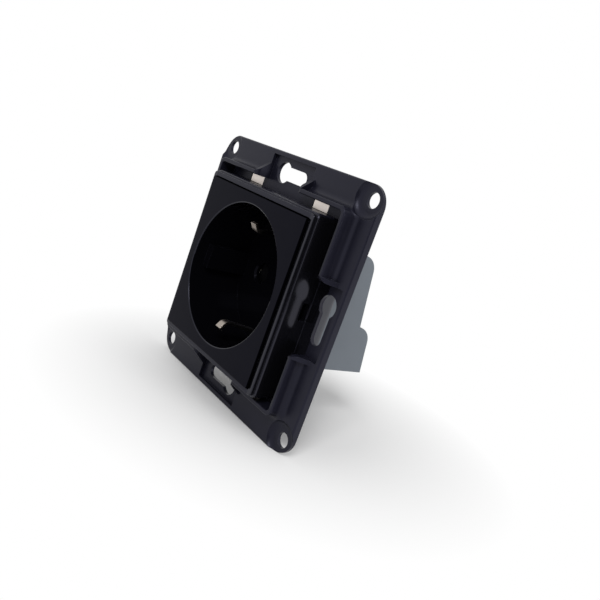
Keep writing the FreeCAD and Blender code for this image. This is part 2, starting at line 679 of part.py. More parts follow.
def live_busbar():
    """Tongue of the live terminal, with a side arm that climbs past the pin to the edge of the board."""
    half = TONGUE_W / 2
    x = -TERMINAL_PITCH
    tongue = block(x - half, x + half, TONGUE_FRONT, TONGUE_BACK, TONGUE_FOOT, SHELF_Z)
    arm_x = -RISER_X - RISER_W / 2
    arm_low = CAGE_TOP + HEAD_CLEAR
    arm = block(x, arm_x + RISER_W, TONGUE_FRONT, TONGUE_BACK, arm_low, SHELF_Z)
    route = [(TONGUE_Y, arm_low), (TONGUE_Y, SHELF_Z + BEND_R), (RISER_Y, SHELF_Z + 2 * RISER_W)]
    route += [(RISER_Y, BOARD_FACE)]
    riser = sheet(route, arm_x, arm_x + RISER_W)
    return tongue.fuse([arm, riser]).removeSplitter()


def earth_busbar():
    """Strip from the strap's web, back under the carrier and down into the earth terminal."""
    foot_y = WELL_BACK_Y + STRIP_T / 2
    route = [(foot_y, TERMINAL_Z), (foot_y, SHELF_Z), (TONGUE_Y, SHELF_Z), (TONGUE_Y, TONGUE_FOOT)]
    return sheet(route, -TONGUE_W / 2, TONGUE_W / 2)


def contact_carrier():
    """Moulded block with a chamber for each contact, and a pocket in its front for the shutter."""
    frame = block(-CARRIER_HALF_W, CARRIER_HALF_W, CARRIER_Y, CHAMBER_Y, -CARRIER_HALF_H, CARRIER_TOP)
    body = block(-CARRIER_HALF_W, CARRIER_HALF_W, CARRIER_Y, CARRIER_END, -CARRIER_HALF_H, CARRIER_HALF_H)
    rails = []
    for sign in (1, -1):
        edges = sorted((sign * BOARD_HALF, sign * (BOARD_HALF - RAIL_W)))
        rails.append(block(edges[0], edges[1], CHAMBER_Y, CARRIER_END, CARRIER_HALF_H, BOARD_Z))
    solid = frame.fuse([body] + rails)
    pocket_half = SHUTTER_HALF_W + SLIDE_FIT
    cuts = [block(-pocket_half, pocket_half, CARRIER_Y, POCKET_Y, -SHUTTER_HALF_H - SLIDE_FIT, SPRING_SEAT)]
    coil = SPRING_R + SPRING_WIRE_R + SLIDE_FIT
    cuts.append(block(-coil, coil, CARRIER_Y, SPRING_Y + coil, SPRING_FOOT, SPRING_SEAT))
    for sign in (1, -1):
        x = sign * PIN_X
        cuts.append(rod_y(x, 0, PIN_HOLE_R, POCKET_Y, CHAMBER_Y))
        reach = CHAMBER_HALF
        cuts.append(block(x - reach, x + reach, CHAMBER_Y, CARRIER_END, -reach, reach))
    tail_y = CONTACT_END - RISER_W / 2
    half = TAIL_SLOT_W / 2
    cuts.append(block(-PIN_X - half, -PIN_X + half, tail_y - STRIP_T, CARRIER_END, 0, CARRIER_HALF_H))
    return solid.cut(cuts).removeSplitter()


def shutter():
    """Sliding bar with a ramp in front of each contact, and a peg for the return spring."""
    back = SHUTTER_Y + SHUTTER_T
    bar = block(-SHUTTER_HALF_W, SHUTTER_HALF_W, SHUTTER_Y, back, -SHUTTER_HALF_H, SHUTTER_HALF_H)
    profile = [vec(0, SHUTTER_Y, -SHUTTER_HALF_H), vec(0, SHUTTER_Y + SHUTTER_RAMP, -SHUTTER_HALF_H)]
    profile += [vec(0, SHUTTER_Y, SHUTTER_HALF_H)]
    ramp = Part.Face(Part.makePolygon(profile + profile[:1])).extrude(vec(2 * PIN_HOLE_R, 0, 0))
    cuts = []
    for sign in (1, -1):
        cut = ramp.copy()
        cut.translate(vec(sign * PIN_X - PIN_HOLE_R, 0, 0))
        cuts.append(cut)
    peg = rod_z(0, SPRING_Y, PEG_R, SHUTTER_HALF_H, SHUTTER_HALF_H + PEG_H)
    return bar.cut(cuts).fuse(peg).removeSplitter()


def shutter_spring():
    """Round-wire coil between the shutter and the top of its pocket."""
    foot = SPRING_FOOT + SPRING_WIRE_R
    length = SPRING_SEAT - SPRING_FOOT - 2 * SPRING_WIRE_R
    coil = Part.makeHelix(length / SPRING_TURNS, length, SPRING_R)
    section = Part.Wire(Part.makeCircle(SPRING_WIRE_R, vec(SPRING_R, 0, 0), vec(0, 1, 0)))
    spring = Part.Wire(coil).makePipeShell([section], True, True)
    spring.translate(vec(0, SPRING_Y, foot))
    return spring


def terminal_cage(x):
    """Square loop round the tongue, tapped for the screw in its rear wall."""
    low = CAGE_TOP - CAGE_H
    high = CAGE_TOP
    loop = block(x - CAGE_HALF, x + CAGE_HALF, CAGE_FRONT, CAGE_BACK, low, high)
    inside = block(x - CAGE_IN, x + CAGE_IN, CAGE_FRONT + CAGE_END_T, CAGE_BACK - CAGE_END_T, low, high)
    tapped = rod_y(x, TERMINAL_Z, SCREW_R + RUN_FIT, CAGE_BACK - CAGE_END_T, CAGE_BACK)
    return loop.cut([inside, tapped])


def terminal_screw(x):
    tip = TONGUE_BACK + SEAT_GAP
    top = HEAD_Y + SCREW_HEAD_T
    shank = rod_y(x, TERMINAL_Z, SCREW_R, tip, HEAD_Y)
    head = rod_y(x, TERMINAL_Z, SCREW_HEAD_R, HEAD_Y, top)
    half = DRIVE_W / 2
    reach = SCREW_HEAD_R
    slot = block(x - reach, x + reach, top - DRIVE_DEPTH, top, TERMINAL_Z - half, TERMINAL_Z + half)
    return shank.fuse(head).cut(slot).removeSplitter()


def case_screws():
    """Four screws through the cup's floor into the insert's bosses."""
    screws = []
    half = DRIVE_W / 2
    top = CUP_BACK_Y + CASE_HEAD_T
    for sign_x, sign_z in QUADRANTS:
        x = sign_x * BOSS_X
        z = sign_z * BOSS_X
        head = rod_y(x, z, CASE_HEAD_R, CUP_BACK_Y, top)
        shank = rod_y(x, z, CASE_SCREW_R, WELL_BACK_Y - CASE_SCREW_GRIP, CUP_BACK_Y)
        reach = CASE_HEAD_R * 0.65
        slots = [block(x - reach, x + reach, top - DRIVE_DEPTH, top, z - half, z + half)]
        slots.append(block(x - half, x + half, top - DRIVE_DEPTH, top, z - reach, z + reach))
        screws.append(head.fuse(shank).cut(slots).removeSplitter())
    return Part.makeCompound(screws)


def circuit_board():
    board = block(-BOARD_HALF, BOARD_HALF, BOARD_FRONT, BOARD_BACK, BOARD_Z, BOARD_FACE)
    corners = [edge for edge in board.Edges if abs(edge.tangentAt(edge.FirstParameter).z) > 0.9]
    board = board.makeFillet(BOARD_CORNER_R, corners)
    tail_y = CONTACT_END - RISER_W / 2
    half = RISER_W / 2 + SEAT_GAP
    thick = STRIP_T / 2 + SEAT_GAP
    return board.cut(block(-PIN_X - half, -PIN_X + half, tail_y - thick, tail_y + thick, BOARD_Z, BOARD_FACE))


def boxed_part(x, share, height):
    """Moulded component in the board's front row, with its upper edges rounded."""
    y = BOARD_FRONT + PART_SPACE
    top = BOARD_FACE + height
    body = block(x, x + share[0] * BOARD_W, y, y + share[1] * BOARD_DEPTH, BOARD_FACE, top)
    upper = [edge for edge in body.Edges if edge.CenterOfMass.z > BOARD_FACE + height / 4]
    return body.makeFillet(PART_SPACE, upper)


def front_row_x():
    """Left edges of the relay, the power module and the radio module along the board's front."""
    relay = -BOARD_HALF + PART_SPACE
    power = relay + RELAY_SHARE[0] * BOARD_W + PART_SPACE
    radio = power + POWER_SHARE[0] * BOARD_W + PART_SPACE
    return relay, power, radio


def relay():
    return boxed_part(front_row_x()[0], RELAY_SHARE, RELAY_H)


def power_module():
    return boxed_part(front_row_x()[1], POWER_SHARE, POWER_H)


def radio_module():
    """Small board of its own with a screening can over most of it."""
    x = front_row_x()[2]
    y = BOARD_FRONT + PART_SPACE
    width = RADIO_SHARE[0] * BOARD_W
    depth = RADIO_SHARE[1] * BOARD_DEPTH
    base = block(x, x + width, y, y + depth, BOARD_FACE, BOARD_FACE + RADIO_H)
    can_end = y + depth - RADIO_CAN_H - PART_SPACE
    can_top = BOARD_FACE + RADIO_H + RADIO_CAN_H
    can = block(x + PART_SPACE, x + width - PART_SPACE, y + PART_SPACE, can_end, BOARD_FACE, can_top)
    return base.fuse(can).removeSplitter()


def back_row_y():
    return BOARD_FRONT + 2 * PART_SPACE + max(RELAY_SHARE[1], POWER_SHARE[1]) * BOARD_DEPTH


def capacitor():
    """Can lying along the board behind the relay, with the rolled groove near its end."""
    radius = CAPACITOR_SHARE[1] * BOARD_DEPTH / 2
    length = CAPACITOR_SHARE[0] * BOARD_W
    y = BOARD_FRONT + 2 * PART_SPACE + RELAY_SHARE[1] * BOARD_DEPTH + radius
    z = BOARD_FACE + radius
    x = SLIP_FIT + RISER_W / 2 - PIN_X
    groove = x + length - radius
    can = rod_x(y, z, radius, x, x + length)
    neck = rod_x(y, z, radius - LEAD_R, groove, groove + LEAD_R)
    return can.cut(rod_x(y, z, radius, groove, groove + LEAD_R).cut(neck))


def varistor():
    """Coated disc on two leads."""
    radius = VARISTOR_SHARE[0] * BOARD_W / 2
    thick = VARISTOR_SHARE[1] * BOARD_DEPTH
    x = front_row_x()[1] + radius
    y = back_row_y()
    middle = BOARD_FACE + radius + LEAD_R
    disc = rod_y(x, middle, radius, y, y + thick)
    leads = [rod_z(x + s * radius / 2, y + thick / 2, LEAD_R, BOARD_FACE, middle) for s in (1, -1)]
    return disc.fuse(leads).removeSplitter()


def fuse_resistor():
    """Small axial body on two bent leads."""
    radius = FUSE_SHARE[1] * BOARD_DEPTH / 2
    length = FUSE_SHARE[0] * BOARD_W
    x = front_row_x()[1] + VARISTOR_SHARE[0] * BOARD_W + 2 * PART_SPACE
    y = back_row_y() + radius + PART_SPACE
    middle = BOARD_FACE + radius + LEAD_R
    body = rod_x(y, middle, radius, x + 2 * LEAD_R, x + length - 2 * LEAD_R)
    wire = block(x, x + length, y - LEAD_R, y + LEAD_R, middle - LEAD_R, middle + LEAD_R)
    legs = []
    for foot in (x, x + length - 2 * LEAD_R):
        legs.append(block(foot, foot + 2 * LEAD_R, y - LEAD_R, y + LEAD_R, BOARD_FACE, middle))
    return body.fuse([wire] + legs).removeSplitter()


def pieces():
    """Every piece of the socket by name."""
    made = {
        "mounting_plate": mounting_plate(),
        "socket_insert": socket_insert(),
        "well_cup": well_cup(),
        "rear_housing": rear_housing(),
        "retaining_frame": retaining_frame(),
        "earth_strap": earth_strap(),
        "earth_busbar": earth_busbar(),
        "contact_carrier": contact_carrier(),
        "live_contact": live_contact(),
        "neutral_contact": neutral_contact(),
        "live_busbar": live_busbar(),
        "shutter": shutter(),
        "shutter_spring": shutter_spring(),
        "circuit_board": circuit_board(),
        "relay": relay(),
        "power_module": power_module(),
        "radio_module": radio_module(),
        "capacitor": capacitor(),
        "varistor": varistor(),
        "fuse_resistor": fuse_resistor(),
        "case_screws": case_screws(),
    }
    for name, x in terminal_places().items():
        made[f"terminal_cage_{name}"] = terminal_cage(x)
        made[f"terminal_screw_{name}"] = terminal_screw(x)
    return made


os.makedirs("parts", exist_ok=True)
for piece_name, shape in pieces().items():
    shape.exportStep(f"parts/{piece_name}.step")
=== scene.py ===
"""Looks of a smart wall socket: finishes, mould marks, stage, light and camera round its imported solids."""
import logging
from dataclasses import dataclass, field, replace
from enum import Enum
from typing import Any, Protocol

import bmesh
import bpy
import numpy as np
from mathutils import Matrix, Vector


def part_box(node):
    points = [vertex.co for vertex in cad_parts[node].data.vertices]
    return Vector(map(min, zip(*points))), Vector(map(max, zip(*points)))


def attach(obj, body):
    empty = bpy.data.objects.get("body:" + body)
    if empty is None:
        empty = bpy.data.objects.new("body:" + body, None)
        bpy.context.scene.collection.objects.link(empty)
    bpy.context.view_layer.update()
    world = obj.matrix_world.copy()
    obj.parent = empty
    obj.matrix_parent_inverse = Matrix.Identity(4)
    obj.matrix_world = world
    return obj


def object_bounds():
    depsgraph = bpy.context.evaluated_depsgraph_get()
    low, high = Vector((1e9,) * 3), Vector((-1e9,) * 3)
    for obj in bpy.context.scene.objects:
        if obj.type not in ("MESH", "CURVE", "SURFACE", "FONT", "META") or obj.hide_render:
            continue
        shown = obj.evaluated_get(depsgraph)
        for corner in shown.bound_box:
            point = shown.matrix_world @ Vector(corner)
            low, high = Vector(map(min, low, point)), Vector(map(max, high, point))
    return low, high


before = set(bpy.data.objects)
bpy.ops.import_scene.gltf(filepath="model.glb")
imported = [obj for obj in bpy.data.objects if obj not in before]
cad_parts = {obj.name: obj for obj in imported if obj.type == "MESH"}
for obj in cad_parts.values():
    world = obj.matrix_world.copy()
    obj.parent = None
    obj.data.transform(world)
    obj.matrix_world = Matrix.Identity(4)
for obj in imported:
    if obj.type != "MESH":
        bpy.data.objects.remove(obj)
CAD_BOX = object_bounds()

MM = 0.001
LOG = logging.getLogger("socket")
Array = np.ndarray
Colour = tuple[float, float, float, float]
Place = tuple[float, float, float]
Socket = bpy.types.NodeSocket
MOTTLE_DETAIL = 3.0
GRAIN_DETAIL = 2.0
EDGE_SAMPLES = 6
# Cosines of the bend at which an edge starts to take its lighter colour, partly wear and partly painted
# highlight, and takes it wholly
EDGE_START = 0.98
EDGE_FULL = 0.85
MERGE = 1e-7
RING_STEPS = 40
BEAD_STEPS = 10
SCAR_STEPS = 24
SCAR_ROWS = 13


class Body(str, Enum):
    """Rigid bodies of the socket that new pieces ride on."""

    SOCKET = "socket"


class Slot(str, Enum):
    """The record's material slots that match new pieces' finishes."""

    PLATE = "plate_black"
    HOUSING = "housing_grey"


class Wire(str, Enum):
    """The three wires, each with a terminal of its own."""

    LIVE = "live"
    EARTH = "earth"
    NEUTRAL = "neutral"


def linear(hex_code: str) -> Colour:
    """Turns an sRGB hex colour to linear, by the curve of the sRGB standard.

    Args:
        hex_code: Colour such as "#20212a".

    Returns:
        Linear red, green, blue, and an alpha of 1.
    """
    values = np.array([int(hex_code[i:i + 2], 16) for i in (1, 3, 5)]) / 255.0
    low = values / 12.92
    high = ((values + 0.055) / 1.055) ** 2.4
    red, green, blue = np.where(values <= 0.04045, low, high)
    return float(red), float(green), float(blue), 1.0


def add_node(tree: bpy.types.NodeTree, kind: str, inputs: dict[Any, Any], **settings: Any) -> bpy.types.Node:
    """Adds a node with its settings, values and links.

    Args:
        tree: Tree that gets the node.
        kind: Blender's name of the node type.
        inputs: Socket name or number to a value, or to an output socket that is linked to it.
        settings: Properties of the node, such as operation.

    Returns:
        The new node.
    """
    node = tree.nodes.new(kind)
    for name, value in settings.items():
        setattr(node, name, value)
    for key, value in inputs.items():
        if isinstance(value, Socket):
            tree.links.new(value, node.inputs[key])
        else:
            node.inputs[key].default_value = value
    return node


def new_material(name: str) -> tuple[bpy.types.Material, bpy.types.NodeTree]:
    """Makes an empty node material.

    Args:
        name: Name of the finish.

    Returns:
        The material and its cleared node tree.
    """
    material = bpy.data.materials.new(name)
    material.use_nodes = True
    material.node_tree.nodes.clear()
    return material, material.node_tree


class Zone(Protocol):
    """Part of a piece whose surface differs from the rest."""

    def mask(self, tree: bpy.types.NodeTree, place: Socket) -> Socket:
        """Adds the nodes that find the zone.

        Args:
            tree: Tree that gets the nodes.
            place: Object coordinates.

        Returns:
            A socket that is 1 inside the zone and 0 outside it.
        """


@dataclass(frozen=True)
class SideChannels:
    """Zone of the plate's two side channels, with the collar's sides, up to the ribs.

    Attributes:
        middle_x: Distance of a channel's middle from the plate's, in millimetres.
        half_x: Half the zone's width.
        half_z: Half the zone's height, up to the collar's top.
        rear: Depth at the plate's rear that stays out of the zone.
        blend: Half the width of the change-over.
    """

    middle_x: float = 25.6
    half_x: float = 3.0
    half_z: float = 24.2
    rear: float = 0.4
    blend: float = 0.25

    def mask(self, tree: bpy.types.NodeTree, place: Socket) -> Socket:
        """Folds both sides on one rectangle, and fades by how far a point is outside it.

        Args:
            tree: Tree that gets the nodes.
            place: Object coordinates.

        Returns:
            A socket that is 1 in the channels and 0 on the flange and the rear.
        """
        for middle in (0.0, self.middle_x * MM):
            ends = {0: place, 1: (middle, 0.0, 0.0)}
            moved = add_node(tree, "ShaderNodeVectorMath", ends, operation="SUBTRACT")
            folded = add_node(tree, "ShaderNodeVectorMath", {0: moved.outputs[0]}, operation="ABSOLUTE")
            place = folded.outputs[0]
        half = (self.half_x * MM, 0.0, self.half_z * MM)
        past = add_node(tree, "ShaderNodeVectorMath", {0: place, 1: half}, operation="SUBTRACT")
        axes = add_node(tree, "ShaderNodeSeparateXYZ", {0: past.outputs[0]})
        depth = {0: self.rear * MM, 1: axes.outputs["Y"]}
        behind = add_node(tree, "ShaderNodeMath", depth, operation="SUBTRACT")
        reach = axes.outputs["X"]
        for other in (axes.outputs["Z"], behind.outputs[0]):
            reach = add_node(tree, "ShaderNodeMath", {0: reach, 1: other}, operation="MAXIMUM").outputs[0]
        span = {"Value": reach, "From Min": self.blend * MM, "From Max": -self.blend * MM}
        return add_node(tree, "ShaderNodeMapRange", span).outputs["Result"]


def band(tree: bpy.types.NodeTree, reach: Socket, limits: tuple[float, float], blend: float) -> Socket:
    """Finds where a distance lies between two limits.

    Args:
        tree: Tree that gets the nodes.
        reach: The distance, in metres.
        limits: Least and greatest distance, in millimetres.
        blend: Half the width of the change-over at each limit.

    Returns:
        A socket that is 1 between the limits and 0 elsewhere.
    """
    side = add_node(tree, "ShaderNodeMath", {0: reach, 1: sum(limits) / 2 * MM}, operation="SUBTRACT")
    gap = add_node(tree, "ShaderNodeMath", {0: side.outputs[0]}, operation="ABSOLUTE")
    half = (limits[1] - limits[0]) / 2
    span = {"From Min": (half + blend) * MM, "From Max": (half - blend) * MM, "Value": gap.outputs[0]}
    return add_node(tree, "ShaderNodeMapRange", span).outputs["Result"]


@dataclass(frozen=True)
class RoundZone:
    """Ring or disc round the well's axis.

    Attributes:
        inner: Inner radius in millimetres, below 0 for a disc.
        outer: Outer radius.
        blend: Half the width of the change-over.
    """

    inner: float
    outer: float
    blend: float = 0.05

    def mask(self, tree: bpy.types.NodeTree, place: Socket) -> Socket:
        """Bands the distance from the well's axis.

        Args:
            tree: Tree that gets the nodes.
            place: Object coordinates.

        Returns:
            A socket that is 1 between the radii and 0 elsewhere.
        """
        flat = add_node(tree, "ShaderNodeVectorMath", {0: place, 1: (1.0, 0.0, 1.0)}, operation="MULTIPLY")
        radius = add_node(tree, "ShaderNodeVectorMath", {0: flat.outputs[0]}, operation="LENGTH")
        return band(tree, radius.outputs["Value"], (self.inner, self.outer), self.blend)


# Zone of the painted shade of the gap round the insert's face
@dataclass(frozen=True)
class SquareZone:
    """Square frame round the insert's middle.

    Attributes:
        inner: Half the inner side, in millimetres.
        outer: Half the outer side.
        blend: Half the width of the change-over.
    """

    inner: float
    outer: float
    blend: float = 0.05

    def mask(self, tree: bpy.types.NodeTree, place: Socket) -> Socket:
        """Bands the greater of the distances across and up.

        Args:
            tree: Tree that gets the nodes.
            place: Object coordinates.

        Returns:
            A socket that is 1 in the frame and 0 elsewhere.
        """
        size = add_node(tree, "ShaderNodeVectorMath", {0: place}, operation="ABSOLUTE")
        axes = add_node(tree, "ShaderNodeSeparateXYZ", {0: size.outputs[0]})
        ways = {0: axes.outputs["X"], 1: axes.outputs["Z"]}
        reach = add_node(tree, "ShaderNodeMath", ways, operation="MAXIMUM")
        return band(tree, reach.outputs[0], (self.inner, self.outer), self.blend)


# Zone of the painted shade that darkens the clips deep in the well
@dataclass(frozen=True)
class DeepZone:
    """All that lies deeper in the well than the clips' peaks.

    Attributes:
        start: Place along Y where the zone starts, in millimetres.
        full: Place along Y from which it is whole.
    """

    start: float
    full: float

    def mask(self, tree: bpy.types.NodeTree, place: Socket) -> Socket:
        """Fades from one plane across Y to the other.

        Args:
            tree: Tree that gets the nodes.
            place: Object coordinates.

        Returns:
            A socket that is 0 at the mouth and 1 deep in the well.
        """
        axes = add_node(tree, "ShaderNodeSeparateXYZ", {0: place})
        span = {"Value": axes.outputs["Y"], "From Min": self.start * MM, "From Max": self.full * MM}
        return add_node(tree, "ShaderNodeMapRange", span).outputs["Result"]


@dataclass(frozen=True)
class Relief:
    """Fine shape that only the highlights show: a grain, and edges that are never quite sharp.

    Attributes:
        grain_mm: Size of the grain.
        depth_mm: Height of the grain.
        stretch: How much finer the grain is along X, Y and Z.
        edge_mm: Radius of the edges.
    """

    grain_mm: float = 0.35
    depth_mm: float = 0.002
    stretch: Place = (1.0, 1.0, 1.0)
    edge_mm: float = 0.1

    def shape(self, tree: bpy.types.NodeTree, place: Socket) -> tuple[Socket, Socket]:
        """Adds the grain as a bump over softened edges, and finds the edges by how far they are softened.

        Args:
            tree: Tree that gets the nodes.
            place: Object coordinates.

        Returns:
            Sockets with the bent normal, and with a mask that is 1 on the edges.
        """
        across = add_node(tree, "ShaderNodeMapping", {"Vector": place, "Scale": self.stretch})
        grain = {"Vector": across.outputs[0], "Scale": 1 / (self.grain_mm * MM), "Detail": GRAIN_DETAIL}
        noise = add_node(tree, "ShaderNodeTexNoise", grain)
        edge = add_node(tree, "ShaderNodeBevel", {"Radius": self.edge_mm * MM}, samples=EDGE_SAMPLES)
        lift = {"Strength": 1.0, "Distance": self.depth_mm * MM, "Height": noise.outputs[0]}
        bump = add_node(tree, "ShaderNodeBump", lift | {"Normal": edge.outputs[0]})
        sides = {0: edge.outputs[0], 1: add_node(tree, "ShaderNodeNewGeometry", {}).outputs["Normal"]}
        match = add_node(tree, "ShaderNodeVectorMath", sides, operation="DOT_PRODUCT").outputs["Value"]
        bend = {"Value": match, "From Min": EDGE_START, "From Max": EDGE_FULL}
        mask = add_node(tree, "ShaderNodeMapRange", bend)
        return bump.outputs[0], mask.outputs["Result"]


@dataclass(frozen=True)
class Patch:
    """What a zone of a surface has of its own, such as the polish of its mould, or else painted shade.

    Attributes:
        colour: Colour of the patch.
        roughness: Roughness of the patch.
        specular: Strength of its reflection.
        zone: Where the patch is.
    """

    colour: str
    roughness: float
    specular: float
    zone: Zone


@dataclass(frozen=True)
class Finish:
    """A surface: two close colours in a soft mottle, its gloss and relief, lighter edges that are partly
    painted highlight, and patches that can be painted shade.

    Attributes:
        name: The material and how its surface was made.
        colour: Colour of most of the surface.
        fleck: Colour that the mottle drifts to.
        edge_wear_and_highlight: Colour of the edges, partly rubbed and partly a painted highlight.
        roughness: Mean roughness.
        spread: How far the mottle moves the roughness either way.
        specular: Strength of a plastic's reflection.
        sheen: Colour of that reflection.
        metallic: 1 for a metal.
        mottle_mm: Size of the mottle.
        relief: Grain and edges.
        patches: Zones with a surface of their own or with painted shade, each over the ones before it.
    """

    name: str
    colour: str
    fleck: str
    edge_wear_and_highlight: str
    roughness: float
    spread: float = 0.03
    specular: float = 0.5
    sheen: str = "#ffffff"
    metallic: float = 0.0
    mottle_mm: float = 5.0
    relief: Relief = Relief()
    patches: tuple[Patch, ...] = ()

    def material(self) -> bpy.types.Material:
        """Builds the material from its parts.

        Returns:
            The finished material.
        """
        material, tree = new_material(self.name)
        place = add_node(tree, "ShaderNodeTexCoord", {}).outputs["Object"]
        cloud = {"Vector": place, "Scale": 1 / (self.mottle_mm * MM), "Detail": MOTTLE_DETAIL}
        mottle = add_node(tree, "ShaderNodeTexNoise", cloud).outputs[0]
        # Sockets 6 and 7 of a colour mix are its two colours, and output 2 is the result
        tint = {0: mottle, 6: linear(self.colour), 7: linear(self.fleck)}
        colour = add_node(tree, "ShaderNodeMix", tint, data_type="RGBA").outputs[2]
        least, most = self.roughness - self.spread, self.roughness + self.spread
        gloss = {"Value": mottle, "To Min": least, "To Max": most}
        roughness = add_node(tree, "ShaderNodeMapRange", gloss).outputs["Result"]
        specular: float | Socket = self.specular
        # Patches lay their own polish, or painted shade, over the mottle
        for patch in self.patches:
            mask = patch.zone.mask(tree, place)
            tint = {0: mask, 6: colour, 7: linear(patch.colour)}
            colour = add_node(tree, "ShaderNodeMix", tint, data_type="RGBA").outputs[2]
            gloss = {"Value": mask, "To Min": roughness, "To Max": patch.roughness}
            roughness = add_node(tree, "ShaderNodeMapRange", gloss).outputs["Result"]
            shine = {"Value": mask, "To Min": specular, "To Max": patch.specular}
            specular = add_node(tree, "ShaderNodeMapRange", shine).outputs["Result"]
        # Edges take the lighter edge colour: partly wear, partly a painted highlight along them
        normal, edge = self.relief.shape(tree, place)
        tint = {0: edge, 6: colour, 7: linear(self.edge_wear_and_highlight)}
        colour = add_node(tree, "ShaderNodeMix", tint, data_type="RGBA").outputs[2]
        sockets = {"Base Color": colour, "Roughness": roughness, "Normal": normal}
        shine = {"Specular IOR Level": specular, "Specular Tint": linear(self.sheen)}
        metal = {"Metallic": self.metallic}
        shader = add_node(tree, "ShaderNodeBsdfPrincipled", sockets | shine | metal)
        add_node(tree, "ShaderNodeOutputMaterial", {"Surface": shader.outputs["BSDF"]})
        return material


# Mould steel was spark-eroded for the flange and polished in the channels
SPARKED = Relief(grain_mm=0.4, depth_mm=0.003, edge_mm=0.1)
FINE = Relief(grain_mm=0.3, depth_mm=0.001, edge_mm=0.06)
# Strip comes off the rolls with lines along it
ROLLED = Relief(grain_mm=0.25, depth_mm=0.0015, stretch=(1.0, 0.15, 0.15), edge_mm=0.1)
TURNED = Relief(grain_mm=0.2, depth_mm=0.001, stretch=(0.2, 1.0, 0.2), edge_mm=0.08)

# Channels are polished and mirror the keyholes, their darker colour partly painted shade of the recess;
# the well is glossy and painted near black as shade, its mouth a glossier ring that shows as a thin pale
# rim;
# a near-black square at the insert's edge is painted shade of the gap round the face; the clips are painted
# darker deeper in the well as shade, bright at their peaks
CHANNEL_GLOSS_AND_SHADE = Patch("#09090c", 0.13, 0.42, SideChannels())
WELL_GLOSS_AND_SHADE = Patch("#060609", 0.12, 0.05, RoundZone(inner=-20.0, outer=20.0))
MOUTH = Patch("#0e0e14", 0.14, 0.35, RoundZone(inner=19.72, outer=19.95))
GAP_SHADE = Patch("#020203", 0.5, 0.0, SquareZone(inner=22.4, outer=23.0))
DEEP_WELL_SHADE = Patch("#636264", 0.34, 0.5, DeepZone(start=-7.2, full=-5.2))

# Black ABS: a soft blue-grey sheen on the textured flange, deep black in the polished channels, partly
# painted shade
PLATE = Finish("moulded black ABS", "#14141d", "#181822", "#2a2a34", 0.34, specular=0.21,
               sheen="#e4e4ff", relief=SPARKED, patches=(CHANNEL_GLOSS_AND_SHADE,))
# Black polycarbonate: a satin face that stays darker than the plate, a glossy well painted near black as
# shade, and a painted dark line of shade round the face's edge
INSERT = Finish("moulded black polycarbonate", "#0f0f16", "#121219", "#22222b", 0.3, specular=0.03,
                sheen="#e4e4ff", relief=FINE, patches=(WELL_GLOSS_AND_SHADE, MOUTH, GAP_SHADE))
# Black glass-filled polyamide: matt, with a dry grey cast from the fibres
CUP = Finish("moulded black glass-filled polyamide", "#3e3f45", "#434449", "#505156", 0.55,
             specular=0.25, relief=SPARKED)
# Grey glass-filled polyamide: matt and cool, hardly any highlight
HOUSING = Finish("moulded grey glass-filled polyamide", "#5f656c", "#646a71", "#70767d", 0.55,
                 specular=0.3, relief=SPARKED)
# Zinc plating: bright but milky, with a warm cast
STEEL = Finish("zinc-plated steel strip", "#eae0d8", "#f2e9e2", "#f8f2ec", 0.36,
               metallic=1.0, mottle_mm=3.0, relief=ROLLED)
# Nickel plating dulled by handling: warm grey
NICKEL = Finish("nickel-plated brass strip", "#a0978f", "#aca39a", "#bdb4ab", 0.34,
                metallic=1.0, mottle_mm=3.0, relief=ROLLED)
# The earth strap is of the same strip, painted darker deeper in the well as shade and bright at its clips'
# peaks
CLIP = replace(NICKEL, name="nickel-plated spring brass", patches=(DEEP_WELL_SHADE,))
# Stamped brass: yellow, with rolling lines
BRASS = Finish("rolled brass strip", "#c9a564", "#d3b274", "#e0c48c", 0.3,
               metallic=1.0, mottle_mm=3.0, relief=ROLLED)
# Turned steel screws under zinc: rings round the axis
SCREW = Finish("zinc-plated turned steel", "#bdb9b3", "#c8c4be", "#d8d4ce", 0.32,
               metallic=1.0, mottle_mm=2.0, relief=TURNED)
# Drawn wire: bright, with hardly any grain
SPRING = Finish("drawn spring steel", "#b4b6b8", "#c0c2c4", "#c8cacc", 0.22,
                metallic=1.0, mottle_mm=1.5, relief=FINE)
# Tinned can: pale and slightly cloudy
CAN = Finish("hot-tinned steel sheet", "#c2c3c3", "#cecfcf", "#dcdddd", 0.3,
             metallic=1.0, mottle_mm=2.0, relief=ROLLED)
# Urea: ivory, hard and half-gloss
CARRIER = Finish("moulded ivory urea", "#cbc5b2", "#d2cdbb", "#dad5c4", 0.42, relief=FINE)
# Acetal: black with a waxy gloss
SHUTTER = Finish("moulded black acetal", "#0c0c0e", "#101012", "#1c1c1f", 0.36, specular=0.1, relief=FINE)
# Solder mask over woven glass: green and glossy, the weave faint under it
BOARD = Finish("green solder mask on woven glass", "#1a5230", "#216239", "#6d7a4e", 0.28, mottle_mm=1.2,
               relief=Relief(grain_mm=0.5, depth_mm=0.004, edge_mm=0.05))
# Relay case: translucent-looking blue polyester, glossy
RELAY = Finish("moulded blue polyester", "#28528f", "#2d5a9b", "#3c68a8", 0.3, relief=FINE)
# Potted power supply: matt black with a sandy fill
MODULE = Finish("potted black epoxy case", "#222226", "#2a2a2e", "#38383c", 0.5,
                mottle_mm=1.5, relief=SPARKED)
# Shrunk sleeve: thin film with a tight gloss
SLEEVE = Finish("shrunk blue-black film", "#1f2136", "#252740", "#30324c", 0.26, relief=FINE)
# Dipped epoxy: thick, rounded and glossy
VARISTOR = Finish("dipped blue epoxy", "#2351a0", "#2a5aac", "#3a69b6", 0.24, mottle_mm=2.0, relief=FINE)
# Lacquered resistor body: tan, slightly uneven
FUSE = Finish("tan lacquer", "#ab8a62", "#b5956d", "#c2a47e", 0.34, mottle_mm=1.0, relief=FINE)


